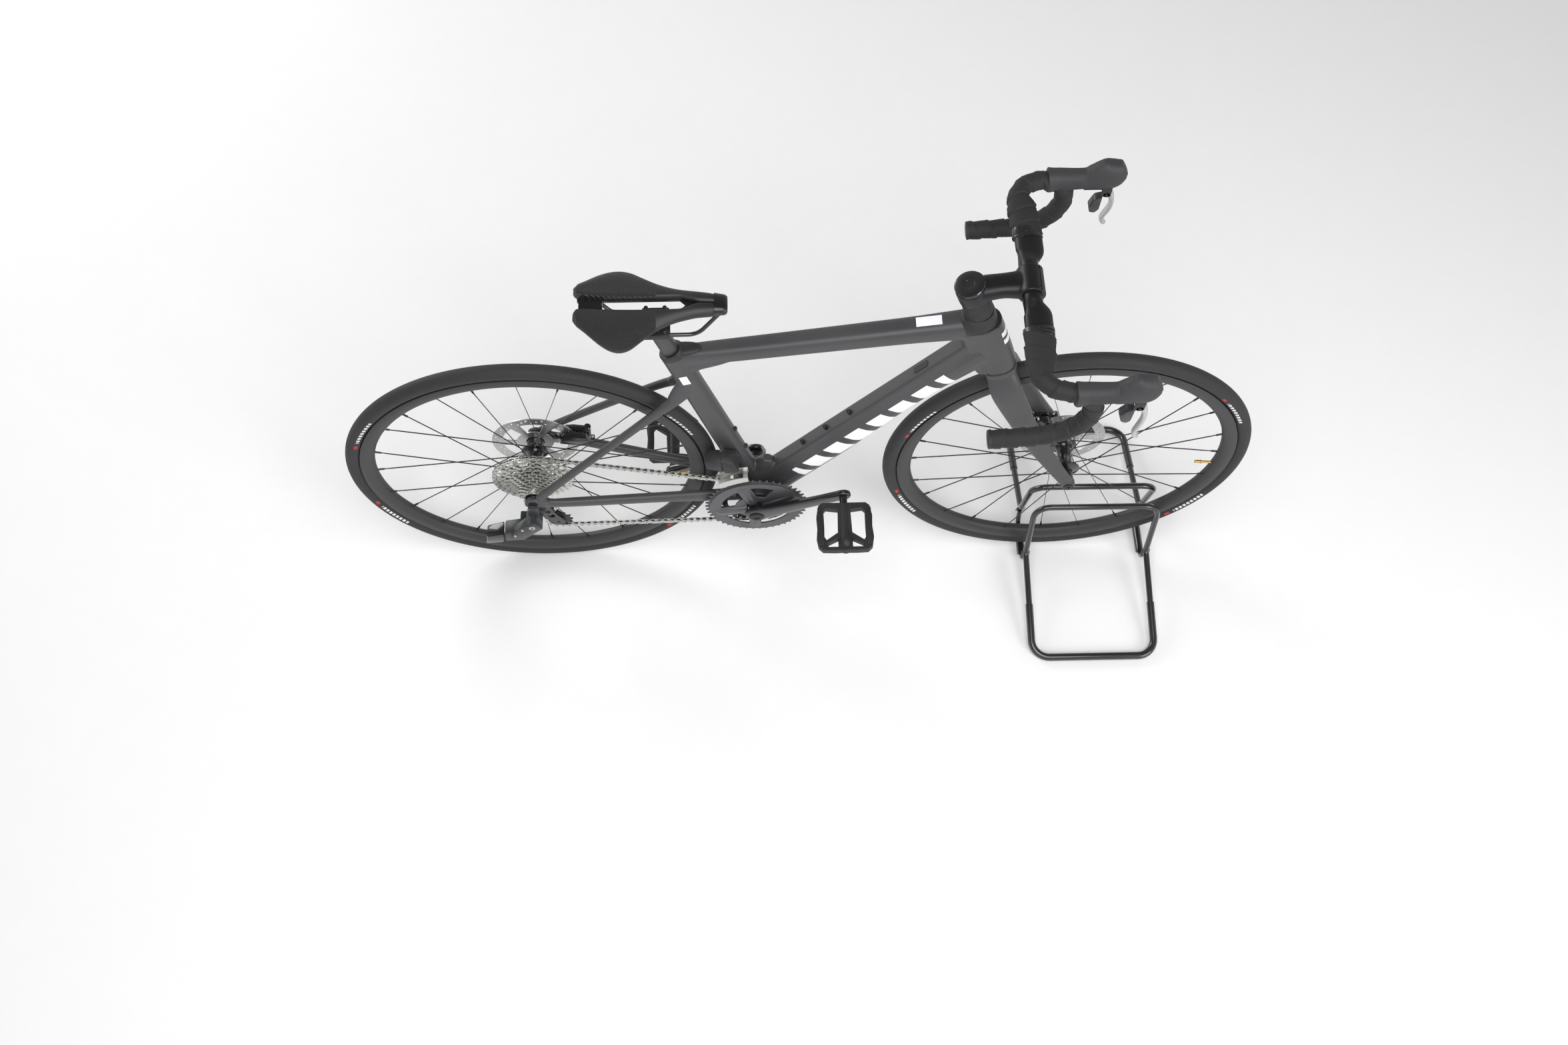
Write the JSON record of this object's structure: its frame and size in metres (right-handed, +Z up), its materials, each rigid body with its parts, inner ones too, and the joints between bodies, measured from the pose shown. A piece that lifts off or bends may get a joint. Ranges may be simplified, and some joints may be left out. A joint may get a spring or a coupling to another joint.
{
  "type": "road bicycle on a floor stand",
  "caption": "Drop-bar disc-brake road bicycle with a slender aero frame, its front wheel held between the hoops of a tubular floor stand.",
  "frame": {"origin": "on the floor, midway between the wheel axles, in the bicycle's middle plane", "axes": "+X forward along the bicycle, +Y to the rider's left, +Z up"},
  "size_m": [1.6608, 0.5346, 0.9445],
  "materials": {
    "satin_carbon": "satin charcoal lacquer over carbon fibre",
    "stand_enamel": "glossy black powder coat on steel tube",
    "black_anodised": "black anodised, satin",
    "bar_carbon": "black lacquered carbon fibre bar and moulded spacers",
    "black_plastic": "moulded glass-filled nylon",
    "steel_bolts": "hardened steel fasteners and axles",
    "grip_tape": "wrapped cork-foam bar tape",
    "hood_rubber": "ribbed moulded rubber",
    "lever_alloy": "grey anodised blades",
    "paddle_plastic": "moulded paddle",
    "tyre_rubber": "smooth road tread",
    "spoke_steel": "black bladed steel",
    "rotor_steel": "ground stainless steel",
    "caliper_alloy": "black anodised calipers",
    "chain_steel": "nickel-plated chain and sprockets",
    "crank_alloy": "black anodised, glossy",
    "chainring_alloy": "dark grey anodised rings",
    "saddle_skin": "synthetic leather over foam",
    "rail_steel": "black rails and clamp"
  },
  "bodies": {
    "stand": {"stand_hoop_left": "stand_enamel", "stand_foot_left": "stand_enamel", "stand_stubs_left": "stand_enamel", "stand_sleeves": "stand_enamel"},
    "stand_right": {"stand_hoop_right": "stand_enamel", "stand_foot_right": "stand_enamel", "stand_stubs_right": "stand_enamel"},
    "fork": {"fork": "satin_carbon", "spacers": "bar_carbon", "stem": "black_anodised", "faceplate": "black_anodised", "stem_bolts": "steel_bolts", "top_cap": "black_plastic", "handlebar": "bar_carbon", "bar_tape": "grip_tape", "lever_hoods": "hood_rubber", "front_caliper": "caliper_alloy", "front_axle": "steel_bolts"},
    "brake_lever_left": {"brake_lever_left": "lever_alloy"},
    "brake_lever_right": {"brake_lever_right": "lever_alloy"},
    "shift_paddle_left": {"shift_paddle_left": "paddle_plastic"},
    "shift_paddle_right": {"shift_paddle_right": "paddle_plastic"},
    "front_wheel": {"front_tyre": "tyre_rubber", "front_rim": "black_anodised", "front_hub": "black_anodised", "front_spokes": "spoke_steel", "front_rotor": "rotor_steel"},
    "frame": {"frame_main": "satin_carbon", "frame_rear": "satin_carbon", "seat_clamp": "black_plastic", "headset_cover": "black_plastic", "headset_bearings": "steel_bolts", "frame_fittings": "black_plastic", "bottom_bracket": "steel_bolts", "front_derailleur": "black_plastic", "rear_derailleur": "black_plastic", "pulley_cage": "steel_bolts", "rear_caliper": "caliper_alloy", "rear_axle": "steel_bolts", "chain": "chain_steel"},
    "seatpost": {"seatpost": "satin_carbon", "saddle_clamp": "rail_steel"},
    "saddle": {"saddle_rails": "rail_steel", "saddle_shell": "black_plastic", "saddle_cover": "saddle_skin"},
    "crank": {"crank_arm_right": "crank_alloy", "crank_arm_left": "crank_alloy", "chainrings": "chainring_alloy", "crank_spindle": "steel_bolts", "pedal_axles": "steel_bolts"},
    "pedal_right": {"pedal_body_right": "black_plastic"},
    "pedal_left": {"pedal_body_left": "black_plastic"},
    "rear_wheel": {"rear_tyre": "tyre_rubber", "rear_rim": "black_anodised", "rear_hub": "black_anodised", "rear_spokes": "spoke_steel", "rear_rotor": "rotor_steel"},
    "cassette": {"cassette": "chain_steel"},
    "guide_pulley": {"guide_pulley": "black_plastic"},
    "tension_pulley": {"tension_pulley": "black_plastic"}
  },
  "joints": [
    {"name": "stand_width", "type": "slide", "parent": "stand", "child": "stand_right", "axis": [0, -1, 0], "range_m": [-0.001, 0.02]},
    {"name": "lift_out", "type": "slide", "parent": "stand", "child": "fork", "axis": [0, 0, 1], "range_m": [0, 0.36]},
    {"name": "steering", "type": "hinge", "parent": "fork", "child": "frame", "pos_m": [0.44097, 0, 0.33633], "axis": [-0.3318, 0, 0.9433], "range_deg": [-50, 50]},
    {"name": "front_wheel_spin", "type": "hinge", "parent": "fork", "child": "front_wheel", "pos_m": [0.49144, 0, 0.35409], "axis": [0, 1, 0], "continuous": true},
    {"name": "brake_lever_left", "type": "hinge", "parent": "fork", "child": "brake_lever_left", "pos_m": [0.48644, 0.204, 0.8764], "axis": [0, 1, 0], "range_deg": [0, 22], "stiffness_Nm_per_rad": 0.6},
    {"name": "brake_lever_right", "type": "hinge", "parent": "fork", "child": "brake_lever_right", "pos_m": [0.48644, -0.204, 0.8764], "axis": [0, 1, 0], "range_deg": [0, 22], "stiffness_Nm_per_rad": 0.6},
    {"name": "shift_paddle_left", "type": "hinge", "parent": "brake_lever_left", "child": "shift_paddle_left", "pos_m": [0.4772, 0.202, 0.85976], "axis": [-0.0544, 0, -0.9985], "range_deg": [0, 10], "stiffness_Nm_per_rad": 0.05},
    {"name": "shift_paddle_right", "type": "hinge", "parent": "brake_lever_right", "child": "shift_paddle_right", "pos_m": [0.4772, -0.202, 0.85976], "axis": [0.0544, 0, 0.9985], "range_deg": [0, 10], "stiffness_Nm_per_rad": 0.05},
    {"name": "crank_spin", "type": "hinge", "parent": "frame", "child": "crank", "pos_m": [-0.08209, 0, 0.27077], "axis": [0, 1, 0], "continuous": true},
    {"name": "pedal_right_spin", "type": "hinge", "parent": "crank", "child": "pedal_right", "pos_m": [0.07565, 0, 0.3406], "axis": [0, 1, 0], "continuous": true},
    {"name": "pedal_left_spin", "type": "hinge", "parent": "crank", "child": "pedal_left", "pos_m": [-0.23982, 0, 0.20094], "axis": [0, 1, 0], "continuous": true},
    {"name": "cassette_spin", "type": "hinge", "parent": "frame", "child": "cassette", "pos_m": [-0.49144, 0, 0.339], "axis": [0, 1, 0], "continuous": true},
    {"name": "guide_pulley_spin", "type": "hinge", "parent": "frame", "child": "guide_pulley", "pos_m": [-0.48482, -0.022, 0.23309], "axis": [0, 1, 0], "continuous": true},
    {"name": "tension_pulley_spin", "type": "hinge", "parent": "frame", "child": "tension_pulley", "pos_m": [-0.46094, -0.022, 0.17645], "axis": [0, 1, 0], "continuous": true},
    {"name": "rear_wheel_spin", "type": "hinge", "parent": "frame", "child": "rear_wheel", "pos_m": [-0.49144, 0, 0.339], "axis": [0, 1, 0], "continuous": true},
    {"name": "seatpost_height", "type": "slide", "parent": "frame", "child": "seatpost", "axis": [-0.307, 0, 0.9517], "range_m": [-0.04, 0.08]},
    {"name": "saddle_setback", "type": "slide", "parent": "seatpost", "child": "saddle", "axis": [0.9999, 0, 0.0153], "range_m": [-0.013, 0.013]}
  ],
  "couplings": [
    {"joint": "cassette_spin", "follows": "crank_spin", "ratio": 0.91667},
    {"joint": "guide_pulley_spin", "follows": "crank_spin", "ratio": -2.75},
    {"joint": "tension_pulley_spin", "follows": "crank_spin", "ratio": 2.75}
  ]
}
